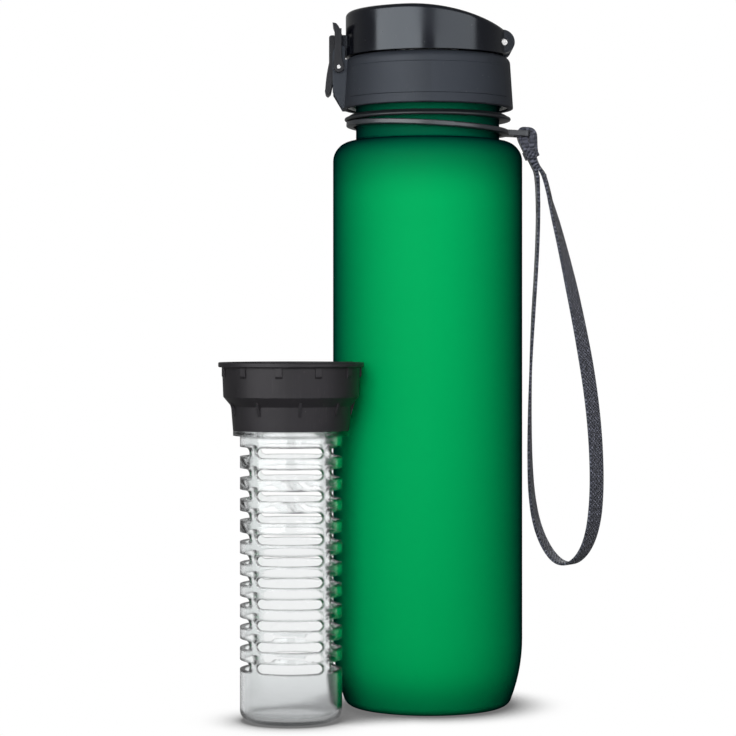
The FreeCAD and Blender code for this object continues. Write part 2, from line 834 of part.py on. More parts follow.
def cap_shell():
    """Flip cap: a hollow round shell with a sloping top, hinge lugs, nose and seal boss."""
    hollow = new_body("cap_hollow", keep=False)
    domed_block(hollow, cap_radius - cap_wall, cap_low - cap_wall, cap_wall)
    body = new_body("cap_shell")
    block = domed_block(body, cap_radius, cap_low, as_size(0))
    doc.recompute()
    rim = []
    for i, edge in enumerate(block.Shape.Edges):
        middle = edge.valueAt((edge.FirstParameter + edge.LastParameter) / 2)
        on_wall = abs(math.hypot(middle.x, middle.y) - cap_radius.value) < 0.01
        if on_wall and edge.BoundBox.ZMin > hinge_level.value and edge.Length > 1:
            rim.append(f"Edge{i + 1}")
    soft = body.newObject("PartDesign::Fillet", "cap_shell_edge")
    soft.Base = (block, rim)
    bind(soft, "Radius", cap_edge)
    hole = body.newObject("PartDesign::Boolean", "cap_shell_hollow")
    hole.Type = "Cut"
    hole.setObjects([hollow])
    behind = cap_radius + cap_wall
    trim = outline(
        sketch_on(body, "XZ_Plane"),
        [
            (hinge_x, cap_low - cap_wall),
            (behind, cap_low - cap_wall),
            (behind, cap_top_level),
            (hinge_x, cap_top_level),
        ],
    )
    cut(body, trim, cap_radius * 2)
    front = hinge_x - hinge_round
    rear_height = cap_top_level - slope_drop(hinge_x)
    lug_rise = rear_height - hinge_level
    lug_curve = (hinge_round * hinge_round + lug_rise * lug_rise) / (hinge_round * 2)
    lug = outline(
        sketch_on(body, "XZ_Plane", lug_near),
        [
            (front, cap_low),
            (hinge_x, hinge_level - hinge_round),
            (hinge_x + hinge_round, hinge_level, hinge_round),
            (hinge_x, rear_height, lug_curve),
            (front, rear_height),
        ],
    )
    both_sides(body, pad(body, lug, hinge_half_width - lug_near))
    gap = outline(
        sketch_on(body, "XY_Plane", cap_low),
        [
            (front - knuckle_play, -lug_near),
            (behind, -lug_near),
            (behind, lug_near),
            (front - knuckle_play, lug_near),
        ],
    )
    cut(body, gap, cap_top_level)
    bore = circle(sketch_on(body, "XZ_Plane"), hinge_x, hinge_level, hinge_pin_radius + running_gap)
    cut(body, bore, cap_radius * 2)
    inside = cap_radius - cap_wall / 2
    pocket = nose_reach - nose_pocket_depth
    soft_nose = cap_wall / 4
    nose = outline(
        sketch_on(body, "XZ_Plane"),
        [
            (-inside, nose_low_level),
            (-inside, nose_high_level),
            (soft_nose - nose_reach, nose_high_level),
            (-nose_reach, nose_high_level - soft_nose, soft_nose),
            (-nose_reach, nose_low_level + soft_nose),
            (soft_nose - nose_reach, nose_low_level, soft_nose),
        ],
    )
    pad(body, nose, nose_half_width * 2, midplane=True)
    catch = outline(
        sketch_on(body, "XZ_Plane"),
        [
            (-nose_reach - cap_wall, strike_level),
            (-pocket, strike_level),
            (-pocket, nose_pocket_top),
            (-nose_reach - cap_wall, nose_pocket_top),
        ],
    )
    cut(body, catch, (tooth_half_width + side_gap) * 2)
    stem = seal_stem_radius + snug_gap
    boss = circle(sketch_on(body, "XY_Plane", seal_high + face_gap), 0, 0, stem + boss_wall)
    circle(boss, 0, 0, stem)
    boss_top = cap_top_level - cap_wall / 8 - slope_drop(stem + boss_wall)
    pad(body, boss, boss_top - seal_high - face_gap)


def spout_seal():
    """Soft disc under the cap that closes the spout, held by its stem."""
    body = new_body("spout_seal")
    radius = spout_bore + spout_wall + seal_overhang
    soft = seal_thickness / 4
    revolve(
        body,
        [
            (0, seal_low),
            (radius - soft, seal_low),
            (radius, seal_low + soft, soft),
            (radius, seal_high - soft),
            (radius - soft, seal_high, soft),
            (seal_stem_radius, seal_high),
            (seal_stem_radius, seal_high + seal_stem_length),
            (0, seal_high + seal_stem_length),
        ],
    )


def latch_button():
    """Rocker on the latch pin: flared push plate below, hooked catch above."""
    body = new_body("latch_button")
    tooth_low = strike_level + side_gap
    tooth_tip = nose_reach - tooth_engagement
    top = strike_level + button_rise
    low = latch_level - button_drop
    reach = latch_x + button_reach
    flare = latch_x + button_flare
    back = reach - button_plate
    hub_out = button_hub * cos(button_hub_angle)
    hub_up = button_hub * sin(button_hub_angle)
    soft = button_plate / 2
    profile = outline(
        sketch_on(body, "XZ_Plane"),
        [
            (-back, top),
            (soft - reach, top),
            (-reach, top - soft, soft),
            (-reach, latch_level + button_plate),
            (-flare, low + soft * 2, button_drop * 6),
            (soft - flare, low, soft * 1.5),
            (-flare + button_plate, low + soft),
            (-latch_x - hub_out, latch_level - hub_up),
            (button_hub - latch_x, latch_level, button_hub),
            (-latch_x - hub_out, latch_level + hub_up, button_hub),
            (-back, latch_level + button_plate * 2),
        ],
    )
    circle(profile, -latch_x, latch_level, latch_pin_radius + running_gap)
    pad(body, profile, button_half_width * 2, midplane=True)
    tooth = outline(
        sketch_on(body, "XZ_Plane"),
        [
            (-back - soft / 2, tooth_low),
            (-tooth_tip, tooth_low),
            (-tooth_tip, tooth_low + tooth_height),
            (-back, top),
            (-back - soft / 2, top),
        ],
    )
    pad(body, tooth, tooth_half_width * 2, midplane=True)


def lock_bail():
    """Swinging lock: two arms on the latch pin and a cross bar with a thumb tip."""
    body = new_body("lock_bail")
    rise = nose_high_level + bail_rise
    inner = bail_arm / 2 - side_gap
    outer = bail_arm / 2 + side_gap
    tip_x = latch_x + bail_tip_reach
    tip_z = rise + bail_tip_rise
    bar_back = nose_reach + bail_gap
    arm = outline(
        sketch_on(body, "XZ_Plane", bail_near),
        [
            (-latch_x - bail_hub, latch_level),
            (-latch_x, latch_level - bail_hub, bail_hub),
            (bail_hub - latch_x, latch_level, bail_hub),
            (inner - latch_x, latch_level + bail_hub * 2),
            (inner - latch_x, rise + bail_arm / 2),
            (-latch_x - outer, rise + bail_arm / 2),
            (-latch_x - outer, latch_level + bail_hub * 2),
        ],
    )
    circle(arm, -latch_x, latch_level, latch_pin_radius + running_gap)
    both_sides(body, pad(body, arm, bail_width))
    bar = outline(
        sketch_on(body, "XZ_Plane"),
        [
            (-bar_back, rise),
            (-bar_back, rise + bail_arm / 2),
            (-tip_x + bail_arm / 2, tip_z - side_gap, bail_arm * 2),
            (-tip_x, tip_z),
            (-latch_x - outer, rise, -bail_arm * 3),
        ],
    )
    pad(body, bar, bail_far * 2, midplane=True)


def helix_points(axis_start, along, first, second, radius, pitch, turns, steps):
    """Points of a helix round an axis, and the steps' end points for its arcs."""
    points = []
    for i in range(turns * steps + 1):
        angle = 2 * math.pi * i / steps
        ring = first * (radius * math.cos(angle)) + second * (radius * math.sin(angle))
        points.append(axis_start + along * (pitch * i / steps) + ring)
    return points


def coil_spring(label, axis_start, along, first, radius, wire, pitch, turns):
    """A round-wire coil on quarter-turn arcs, one unbroken tube."""
    second = along.cross(first)
    points = helix_points(axis_start, along, first, second, radius, pitch, turns, 8)
    arcs = [Part.Arc(points[i], points[i + 1], points[i + 2]) for i in range(0, len(points) - 2, 2)]
    path = Part.Wire([arc.toShape() for arc in arcs])
    tangent = path.OrderedEdges[0].tangentAt(path.OrderedEdges[0].FirstParameter)
    section = Part.Wire(Part.Circle(points[0], tangent, wire / 2).toShape())
    shape = path.makePipeShell([section], True, False)
    print(f"{label}: gap between turns {pitch - wire:.2f}")
    item = doc.addObject("Part::Feature", label)
    nodes.append(item)
    item.Shape = shape
    return item


def hinge_spring():
    """Torsion coil round the hinge pin, between the knuckle's two ears."""
    room = knuckle_half_width - knuckle_wall - hinge_spring_end
    length = room.value * 2 - hinge_spring_wire.value
    turns = int(hinge_spring_turns.value)
    start = FreeCAD.Vector(hinge_x.value, -length / 2, hinge_level.value)
    radius = hinge_pin_radius.value + hinge_spring_wire.value / 2 + side_gap.value
    coil_spring(
        "hinge_spring",
        start,
        FreeCAD.Vector(0, 1, 0),
        FreeCAD.Vector(1, 0, 0),
        radius,
        hinge_spring_wire.value,
        length / turns,
        turns,
    )


def button_spring():
    """Compression coil that pushes the button's plate away from the collar."""
    height = latch_level.value - button_spring_drop.value
    taper = (collar_foot_radius.value - collar_radius.value) / (
        collar_top_level.value - collar_round.value - collar_foot_level.value
    )
    wall = collar_foot_radius.value - taper * (height - collar_foot_level.value)
    wire = button_spring_wire.value
    turns = int(button_spring_turns.value)
    low = latch_level.value - button_drop.value + button_plate.value / 2
    low_x = latch_x.value + button_flare.value - button_plate.value
    coil_top = height + button_spring_radius.value + wire / 2
    lean = (latch_x.value + button_hub.value - low_x) / (latch_level.value - low)
    plate = low_x + lean * (coil_top - low)
    start = -wall - side_gap.value - wire / 2
    pitch = (plate + start - side_gap.value - wire / 2) / turns
    coil_spring(
        "button_spring",
        FreeCAD.Vector(start, 0, height),
        FreeCAD.Vector(-1, 0, 0),
        FreeCAD.Vector(0, 1, 0),
        button_spring_radius.value,
        wire,
        pitch,
        turns,
    )


def stand_aside(body):
    """Put a body on the infuser's own axis, beside the bottle."""
    distance = body_radius + rim_radius + infuser_apart
    bind(body, "Placement.Base.x", distance * cos(infuser_bearing))
    bind(body, "Placement.Base.y", distance * sin(infuser_bearing))


def infuser_ring():
    """Black ring that hangs the basket in the bottle's mouth: rim, tabs, cone and socket."""
    body = new_body("infuser_ring")
    rim_low = infuser_height - rim_thickness
    insert_low = rim_low - insert_height
    cone_low = insert_low - cone_height
    insert_end = insert_radius - insert_taper
    soft = rim_thickness / 4
    revolve(
        body,
        [
            (socket_end - ring_wall, socket_low),
            (socket_end, socket_low),
            (socket_radius, cone_low),
            (insert_end, insert_low),
            (insert_radius, rim_low),
            (rim_radius - soft, rim_low),
            (rim_radius, rim_low + soft, soft),
            (rim_radius, infuser_height - soft),
            (rim_radius - soft, infuser_height, soft),
            (insert_radius - ring_wall, infuser_height),
            (insert_end - ring_wall, insert_low + ring_wall / 2),
            (socket_end - ring_wall, cone_low + ring_wall / 2),
        ],
    )
    tab_out = neck_bore - tab_gap
    inside = insert_end - ring_wall / 2
    tab = outline(
        sketch_on(body, "XZ_Plane"),
        [
            (inside, rim_low),
            (inside, rim_low - tab_height),
            (insert_radius, rim_low - tab_height),
            (tab_out, rim_low - tab_height + ring_wall / 2),
            (tab_out, rim_low),
        ],
    )
    around(body, pad(body, tab, tab_width, midplane=True), tab, tab_count)
    rib_in = socket_end - ring_wall / 2
    rib_out = socket_radius + (insert_end - socket_radius) / 2
    rib = outline(
        sketch_on(body, "XZ_Plane"),
        [
            (rib_in, cone_low - cone_height),
            (socket_radius, cone_low - cone_height),
            (rib_out, cone_low + cone_height / 2),
            (rib_in, cone_low + cone_height / 2),
        ],
    )
    around(body, pad(body, rib, rib_width, midplane=True), rib, rib_count)
    stand_aside(body)


def infuser_basket():
    """Clear slotted basket with a flange and a neck that screws into the ring."""
    body = new_body("infuser_basket")
    inner = basket_radius - basket_wall
    inner_corner = basket_corner - basket_wall
    flange_high = socket_low - face_gap
    flange_low = flange_high - basket_flange
    neck_high = socket_low + basket_neck
    revolve(
        body,
        [
            (0, 0),
            (basket_radius - basket_corner, 0),
            (basket_radius, basket_corner, basket_corner),
            (basket_radius, flange_low),
            (socket_end, flange_low),
            (socket_end, flange_high),
            (basket_neck_radius, flange_high),
            (basket_neck_radius, neck_high),
            (basket_neck_radius - basket_wall, neck_high),
            (basket_neck_radius - basket_wall, flange_high),
            (inner, flange_low),
            (inner, basket_floor + inner_corner),
            (inner - inner_corner, basket_floor, -inner_corner),
            (0, basket_floor),
        ],
    )
    half = slot_height / 2
    pillar = pillar_width / (basket_radius * 2)
    half_span = basket_radius * (root(1 - pillar * pillar) - pillar) * sin(as_size(45))
    run = half_span - half
    pitch = (flange_low - slot_top - slot_first) / (slot_rows - 1)
    for role in ("XZ_Plane", "YZ_Plane"):
        slot = outline(
            sketch_on(body, role),
            [
                (run, slot_first - half),
                (run + half, slot_first, half),
                (run, slot_first + half, half),
                (-run, slot_first + half),
                (-run - half, slot_first, half),
                (-run, slot_first - half, half),
            ],
        )
        first_row = cut(body, slot, basket_radius * 3)
        column = body.newObject("PartDesign::LinearPattern", "infuser_basket_rows")
        column.Originals = [first_row]
        column.Direction = (slot, ["V_Axis"])
        column.Mode = "Spacing"
        bind(column, "Offset", pitch)
        bind(column, "Occurrences", slot_rows)
        body.Tip = column
    stand_aside(body)


bottle_body()
neck_stop_ring()
strap_ring()
strap_hitch()
strap_loop()
lid_gasket()
lid_liner()
lid_collar()
pin("hinge_pin", hinge_pin_radius, hinge_half_width, hinge_x, hinge_level)
hinge_spring()
pin("latch_pin", latch_pin_radius, bail_far, -latch_x, latch_level)
button_spring()
cap_shell()
spout_seal()
latch_button()
lock_bail()
infuser_ring()
infuser_basket()
doc.recompute()

for item in doc.Objects:
    if "Invalid" in item.State or "Error" in item.State:
        raise RuntimeError(f"{item.Label} did not build: {item.State}")
os.makedirs("parts", exist_ok=True)
for node in nodes:
    if node.Shape.isNull() or not node.Shape.isValid():
        raise RuntimeError(f"{node.Label} has no valid shape")
    node.Shape.exportStep(f"parts/{node.Label}.step")
    print(f"{node.Label}: {len(node.Shape.Solids)} solid, {node.Shape.Volume:.0f} mm3")
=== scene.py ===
import math

import bpy
import numpy as np
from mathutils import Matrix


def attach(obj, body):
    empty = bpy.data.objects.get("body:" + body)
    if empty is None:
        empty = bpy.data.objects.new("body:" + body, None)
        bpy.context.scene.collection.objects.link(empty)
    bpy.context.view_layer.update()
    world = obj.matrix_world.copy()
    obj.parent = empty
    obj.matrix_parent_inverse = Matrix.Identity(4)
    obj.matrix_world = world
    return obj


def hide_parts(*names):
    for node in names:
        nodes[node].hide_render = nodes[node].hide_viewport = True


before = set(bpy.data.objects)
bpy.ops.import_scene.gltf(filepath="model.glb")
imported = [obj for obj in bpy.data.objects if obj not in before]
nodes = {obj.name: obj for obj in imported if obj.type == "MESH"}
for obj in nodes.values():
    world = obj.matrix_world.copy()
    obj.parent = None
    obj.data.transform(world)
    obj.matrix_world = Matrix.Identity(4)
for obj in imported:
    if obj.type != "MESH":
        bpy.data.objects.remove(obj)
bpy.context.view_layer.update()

scene = bpy.context.scene
scene.view_settings.view_transform = "Standard"

# Camera: millimetres for the sensor and lens, a share of the picture's width for the shift.
CAMERA_PLACE = (-0.0249, -1.0, 0.155)
CAMERA_SENSOR = 36
CAMERA_LENS = 117
CAMERA_SHIFT = -0.0469

# Strap, as in the CAD source: points of its hanging loop (out from the hitch, up), and the hitch's foot.
STRAP_ROUTE = np.array([
    (-1.6, 221.1), (-1.4, 208), (-1.8, 194), (-2.9, 179), (-4.4, 163), (-5.6, 147), (-6.3, 131),
    (-6.6, 115), (-6.4, 100), (-5.4, 87), (-2.4, 75), (3.4, 65.5), (11, 59.8), (19.4, 60.1),
    (26.6, 66.2), (31, 76), (32.8, 89), (32.7, 104), (31.2, 120), (28.2, 137), (24, 154),
    (19.2, 171), (14.2, 187), (9, 202), (4.6, 213.6), (2.6, 221.1),
]) / 1000
STRAP_FOOT_X = 0.04724
STRAP_TURN = math.radians(50)
STRAP_WIDTH = 0.0075
STRAP_THICKNESS = 0.0012
RING_LEVEL = 0.2405
RING_TILT = math.radians(3.1)

# From each end of the loop, in metres: the strand's twist in degrees, and its share of the full width.
NEAR_TWIST = ((0, 0.06, 0.12, 0.165, 0.2), (54, 52, 36, 18, 0))
FAR_TWIST = ((0, 0.02, 0.05, 0.08), (48, 26, 8, 0))
GATHERED = ((0, 0.012), (0.5, 1))
YARN_PITCH = 0.0017

# Hitch round the tail's bar, in the tilted ring's own plane (out, up).
WRAP_ROUTE = np.array([
    (42.0, -8.6), (40.4, -5.6), (38.6, -2.4), (38.05, 0.4), (38.9, 2.0), (41.0, 2.1), (43.4, 2.0),
    (44.9, 0.4), (45.2, -2.8), (45.4, -5.6), (45.9, -8.2),
]) / 1000
NEAR_STRAND_ROUTE = np.array([(40.5, -1.3), (41.2, -4.6), (42.6, -8.2), (44.6, -12.2)]) / 1000
FAR_STRAND_ROUTE = np.array([
    (43.9, 0.9), (43.7, -3.0), (44.1, -6.0), (45.1, -9.6), (46.8, -13.2),
]) / 1000
BIGHT_CENTRE = np.array((43.7, -8.2)) / 1000
BIGHT_LEAN = math.radians(24)
BIGHT_HALF_DEPTH = 0.0024
BIGHT_HALF_WIDTH = 0.0044
BIGHT_BAND = 0.0036
BIGHT_STEPS = 48
KNOT_THICKNESS = 0.0016
BUNCHED_WIDTH = 0.8
BUNCHED_EXTRA = 1.6

# Screw thread of the neck, and the lid liner's that runs between its turns.
NECK_RADIUS = 0.0299
LINER_BORE = 0.0314
THREAD_HEIGHT = 0.0012
THREAD_LEAD = 0.005
THREAD_FOOT = 0.0022
THREAD_START = 0.2515
THREAD_TURNS = 1.5
THREAD_STEPS = 96
THREAD_RISE = np.array((-0.12, 1.0, 1.0, -0.12))
THREAD_ACROSS = np.array((-0.5, -0.22, 0.22, 0.5))
THREAD_END_HEIGHT = 0.02

# Light levels of the room, the paper floor, and the soft boxes' common sizes.
ROOM_FILL = 0.1
GLOSS_FILL = 0.25
BESIDE_WALL = 0.1
FLOOR_TONE = 0.28
FLOOR_HALF = 3.0
SHADOW_REACH = 0.03
DEEPEST_SHADOW = 0.16
SHADOW_IN_GLASS = 0.5
LIT_HEIGHT = 0.14
LIGHTING = {"high": 0.3, "height": 0.27, "distance": 0.45}
MIRRORED = {"high": 1.0, "height": 0.24, "distance": 0.9, "gloss": True}

# Colours that change over a piece.
GREEN = (0.0, 0.68, 0.138)
# Painted shade at the neck and the foot, partly a deeper tone where the wall is thicker.
GREEN_THICK_AND_SHADED = (0.0, 0.15, 0.056)
GREEN_CLOUD = (0.0, 0.73, 0.17)
CLEAR = (0.97, 0.985, 0.985)
# Painted shade towards the basket's foot.
CLEAR_FOOT_SHADE = (0.83, 0.84, 0.845)
CLEAR_RUBBED = (0.86, 0.88, 0.88)
YARN_HOLLOW = (0.014, 0.016, 0.024)
# A painted highlight on the crests of the weave.
YARN_CREST_HIGHLIGHT = (0.205, 0.215, 0.28)
STEEL_DULL = (0.56, 0.56, 0.57)
STEEL_BRIGHT = (0.72, 0.72, 0.72)
DUST_GREY = (0.35, 0.35, 0.34)
DUST_STRENGTH = 0.12


def add_mesh(name, points, faces, smooth=True):
    """A mesh object at the origin, from (n, 3) points in metres and an (m, 4) array of corners."""
    mesh = bpy.data.meshes.new(name)
    mesh.vertices.add(len(points))
    mesh.vertices.foreach_set("co", np.asarray(points, dtype=np.float32).ravel())
    mesh.loops.add(faces.size)
    mesh.loops.foreach_set("vertex_index", faces.ravel().astype(np.int32))
    mesh.polygons.add(len(faces))
    mesh.polygons.foreach_set("loop_start", np.arange(0, faces.size, 4, dtype=np.int32))
    mesh.polygons.foreach_set("use_smooth", np.full(len(faces), smooth))
    mesh.update(calc_edges=True)
    mesh.validate()
    item = bpy.data.objects.new(name, mesh)
    scene.collection.objects.link(item)
    return item


def camera():
    """The photo's camera: level, in front of the bottle and left of its axis, its picture shifted down."""
    data = bpy.data.cameras.new("camera")
    data.sensor_width = CAMERA_SENSOR
    data.lens = CAMERA_LENS
    data.shift_y = CAMERA_SHIFT
    item = bpy.data.objects.new("camera", data)
    item.location = CAMERA_PLACE
    item.rotation_euler = (math.radians(90), 0, 0)
    scene.collection.objects.link(item)
    scene.camera = item


def line_through(points, steps):
    """The points of a NURBS line of order 3 over a route, as an (n, 3) array."""
    curve = bpy.data.curves.new("route", "CURVE")
    curve.dimensions = "3D"
    curve.resolution_u = steps
    spline = curve.splines.new("NURBS")
    spline.points.add(len(points) - 1)
    spline.points.foreach_set("co", np.column_stack((points, np.ones(len(points)))).ravel())
    spline.order_u = 3
    spline.use_endpoint_u = True
    holder = bpy.data.objects.new("route", curve)
    mesh = bpy.data.meshes.new_from_object(holder)
    line = np.empty(3 * len(mesh.vertices))
    mesh.vertices.foreach_get("co", line)
    bpy.data.objects.remove(holder)
    bpy.data.curves.remove(curve)
    bpy.data.meshes.remove(mesh)
    return line.reshape(-1, 3)


def unit(vectors):
    """The vectors, each of length 1."""
    return vectors / np.linalg.norm(vectors, axis=-1, keepdims=True)


def along(line):
    """How far along the line each point lies, in metres, and the line's direction there."""
    steps = np.linalg.norm(np.diff(line, axis=0), axis=1)
    return np.concatenate(([0], np.cumsum(steps))), unit(np.gradient(line, axis=0))


def sweep(name, points, ring):
    """A closed skin over rows of points: each row is a section that is joined to the next.

    points is (rows, around, 3). Both ends are filled, or with ring the last row is joined to the first.
    """
    rows, around = points.shape[:2]
    row, col = np.meshgrid(np.arange(rows if ring else rows - 1), np.arange(around), indexing="ij")
    after = (row + 1) % rows
    beside = (col + 1) % around
    corners = (row * around + col, row * around + beside, after * around + beside, after * around + col)
    faces = np.stack(corners, axis=-1).reshape(-1, 4)
    if not ring:
        k = np.arange(around // 2 - 1)
        lid = np.stack((k, k + 1, around - 2 - k, around - 1 - k), axis=-1)
        faces = np.concatenate((faces, lid[:, ::-1], lid + (rows - 1) * around))
    return add_mesh(name, points.reshape(-1, 3), faces)


def ribbon(name, line, across, width, thickness, ring=False, around=20):
    """A flat woven band carried along a line; its width and thickness may change on the way.

    Its section is a rounded oblong: x = w/2 cos(t)^(1/3) along the band's width and y = h/2 sin(t)^(1/3)
    along its normal, with the signs kept. UV holds the place across and along the band, in metres.
    """
    way, ahead = along(line)
    normal = unit(np.cross(ahead, across))
    side = np.cross(normal, ahead)
    turn = (np.arange(around) + 0.5) * 2 * math.pi / around
    x = np.cbrt(np.cos(turn)) / 2 * np.broadcast_to(width, len(line))[:, None]
    y = np.cbrt(np.sin(turn)) / 2 * np.broadcast_to(thickness, len(line))[:, None]
    points = line[:, None] + side[:, None] * x[..., None] + normal[:, None] * y[..., None]
    item = sweep(name, points, ring)
    flat = np.stack((x, np.broadcast_to(way[:, None], x.shape)), axis=-1).reshape(-1, 2)
    corner = np.empty(len(item.data.loops), dtype=np.int32)
    item.data.loops.foreach_get("vertex_index", corner)
    layer = item.data.uv_layers.new(name="band")
    layer.data.foreach_set("uv", flat[corner].astype(np.float32).ravel())
    return item


def on_ring(route):
    """Points of the tilted strap ring's own plane (out, up), in the scene's frame."""
    out, up = route.T
    x = out * math.cos(RING_TILT) + up * math.sin(RING_TILT)
    z = RING_LEVEL - out * math.sin(RING_TILT) + up * math.cos(RING_TILT)
    return np.stack((x, np.zeros(len(x)), z), axis=-1)


def strap_band():
    """The hanging loop of webbing.

    The band faces out of the loop. Each strand is turned edge-on to the viewer at the hitch and untwists
    on its way down, the near one slowly and the far one within a few centimetres. It is gathered, so
    narrower, where it comes out of the hitch.
    """
    out = np.array((math.cos(STRAP_TURN), -math.sin(STRAP_TURN), 0))
    points = STRAP_ROUTE[:, :1] * out + STRAP_ROUTE[:, 1:] * np.array((0, 0, 1))
    points[:, 0] += STRAP_FOOT_X
    line = line_through(points, 8)
    way, ahead = along(line)
    length = way[-1]
    twist = np.interp(way, *NEAR_TWIST) + np.interp(length - way, *FAR_TWIST)
    turn = math.pi / 2 - STRAP_TURN + np.radians(twist)
    across = np.stack((np.cos(turn), np.sin(turn), np.zeros(len(turn))), axis=-1)
    width = STRAP_WIDTH * np.interp(np.minimum(way, length - way), *GATHERED)
    return ribbon("strap_band", line, across, width, STRAP_THICKNESS), line, across, length


def strap_knot(loop_line, loop_across):
    """The lark's-head hitch on the tail's bar.

    One wrap goes over the bar, a bight goes round its ends as a slanted oval, and two bunched strands run
    down through it, flatten and turn into the loop's two ends.
    """
    bar = np.array((0.0, 1.0, 0.0))
    over = line_through(on_ring(WRAP_ROUTE), 6)
    wrap = ribbon("strap_knot_wrap", over, bar, STRAP_WIDTH, KNOT_THICKNESS)
    strands = []
    for name, route, end, inside in (
        ("strap_knot_near", NEAR_STRAND_ROUTE, 0, 6),
        ("strap_knot_far", FAR_STRAND_ROUTE, -1, -7),
    ):
        line = line_through(np.concatenate((on_ring(route), loop_line[[end, inside]])), 6)
        flat = np.linspace(0, 1, len(line))
        across = unit(bar + (loop_across[inside] - bar) * flat[:, None])
        width = STRAP_WIDTH * (BUNCHED_WIDTH + (1 - BUNCHED_WIDTH) * flat)
        thickness = STRAP_THICKNESS * (1 + BUNCHED_EXTRA * (1 - flat))
        strands.append(ribbon(name, line, across, width, thickness))
    turn = np.arange(BIGHT_STEPS) * 2 * math.pi / BIGHT_STEPS
    aside = np.array((math.cos(BIGHT_LEAN), math.sin(BIGHT_LEAN)))
    line = on_ring(BIGHT_CENTRE + aside * BIGHT_HALF_DEPTH * np.cos(turn)[:, None])
    line[:, 1] = BIGHT_HALF_WIDTH * np.sin(turn)
    down = np.array((math.sin(BIGHT_LEAN), 0, -math.cos(BIGHT_LEAN)))
    bight = ribbon("strap_knot_bight", line, down, BIGHT_BAND, KNOT_THICKNESS, ring=True)
    return [wrap, bight, *strands]


def thread(name, radius, height, start):
    """A right-hand screw ridge on a wall of this radius, inwards where the height is negative.

    Angle and level grow together along it. The section is a trapezium across the ridge with its foot sunk
    in the wall, and its height swells from almost nothing over the first and last eighth of a turn.
    """
    share = np.linspace(0, 1, int(THREAD_STEPS * THREAD_TURNS) + 1)
    angle = share * THREAD_TURNS * 2 * math.pi
    swell = np.clip(np.minimum(share, 1 - share) * THREAD_TURNS * 8, THREAD_END_HEIGHT, 1)
    r = radius + height * THREAD_RISE * np.where(THREAD_RISE > 0, swell[:, None], 1)
    z = start + share[:, None] * THREAD_TURNS * THREAD_LEAD + THREAD_FOOT * THREAD_ACROSS
    points = np.stack((r * np.cos(angle)[:, None], r * np.sin(angle)[:, None], z), axis=-1)
    if height > 0:
        points = points[:, ::-1]
    return sweep(name, points, False)


camera()
band, band_line, band_across, band_length = strap_band()
knot = strap_knot(band_line, band_across)
neck_thread = thread("neck_thread", NECK_RADIUS, THREAD_HEIGHT, THREAD_START)
liner_thread = thread("liner_thread", LINER_BORE, -THREAD_HEIGHT, THREAD_START + THREAD_LEAD / 2)

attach(band, "strap")
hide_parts("strap_loop")
for piece in knot:
    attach(piece, "strap")
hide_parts("strap_hitch")
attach(neck_thread, "bottle")
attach(liner_thread, "lid")


def add(tree, kind, values=None, **settings):
    """A shader node with these settings, and with numbers or other nodes' outputs on its inputs."""
    item = tree.nodes.new(kind)
    for key, value in settings.items():
        setattr(item, key, value)
    for key, value in (values or {}).items():
        if isinstance(value, bpy.types.NodeSocket):
            tree.links.new(value, item.inputs[key])
        else:
            item.inputs[key].default_value = value
    return item


def maths(tree, operation, first, second=0.5, third=0.5):
    """The output of one Math node."""
    return add(tree, "ShaderNodeMath", {0: first, 1: second, 2: third}, operation=operation).outputs[0]


def span(tree, value, low, high, to_low=0.0, to_high=1.0):
    """A value's place between low and high, clamped, as a smooth step."""
    values = {"Value": value, "From Min": low, "From Max": high, "To Min": to_low, "To Max": to_high}
    return add(tree, "ShaderNodeMapRange", values, interpolation_type="SMOOTHSTEP").outputs[0]


def noise(tree, place, scale, detail):
    """A noise texture's value over a place."""
    values = {"Vector": place, "Scale": scale, "Detail": detail}
    return add(tree, "ShaderNodeTexNoise", values).outputs["Fac"]


def object_place(tree):
    """A point's place on its piece, in metres."""
    return add(tree, "ShaderNodeTexCoord").outputs["Object"]


def height_above_floor(tree):
    """A point's height, since every piece sits at the origin."""
    return add(tree, "ShaderNodeSeparateXYZ", {"Vector": object_place(tree)}).outputs["Z"]


def seen_by(tree, level, **rays):
    """A level that differs by kind of ray: the last kind that fits counts."""
    path = add(tree, "ShaderNodeLightPath").outputs
    for kind, value in rays.items():
        level = add(tree, "ShaderNodeMix", {0: path[f"Is {kind} Ray"], 2: level, 3: value}).outputs[0]
    return level


def room():
    """A white room to the camera.

    Gloss sees a dim room, glass only its white back wall, and everything else a soft fill.
    """
    world = bpy.data.worlds.new("room")
    scene.world = world
    world.use_nodes = True
    tree = world.node_tree
    tree.nodes.clear()
    way = add(tree, "ShaderNodeTexCoord").outputs["Generated"]
    back = add(tree, "ShaderNodeSeparateXYZ", {"Vector": way}).outputs["Y"]
    wall = span(tree, back, 0.7, 0.93, BESIDE_WALL, 1.0)
    level = seen_by(tree, ROOM_FILL, Glossy=GLOSS_FILL, Transmission=wall, Camera=1.0)
    light = add(tree, "ShaderNodeBackground", {"Color": (1, 1, 1, 1), "Strength": level})
    add(tree, "ShaderNodeOutputWorld", {"Surface": light.outputs[0]})


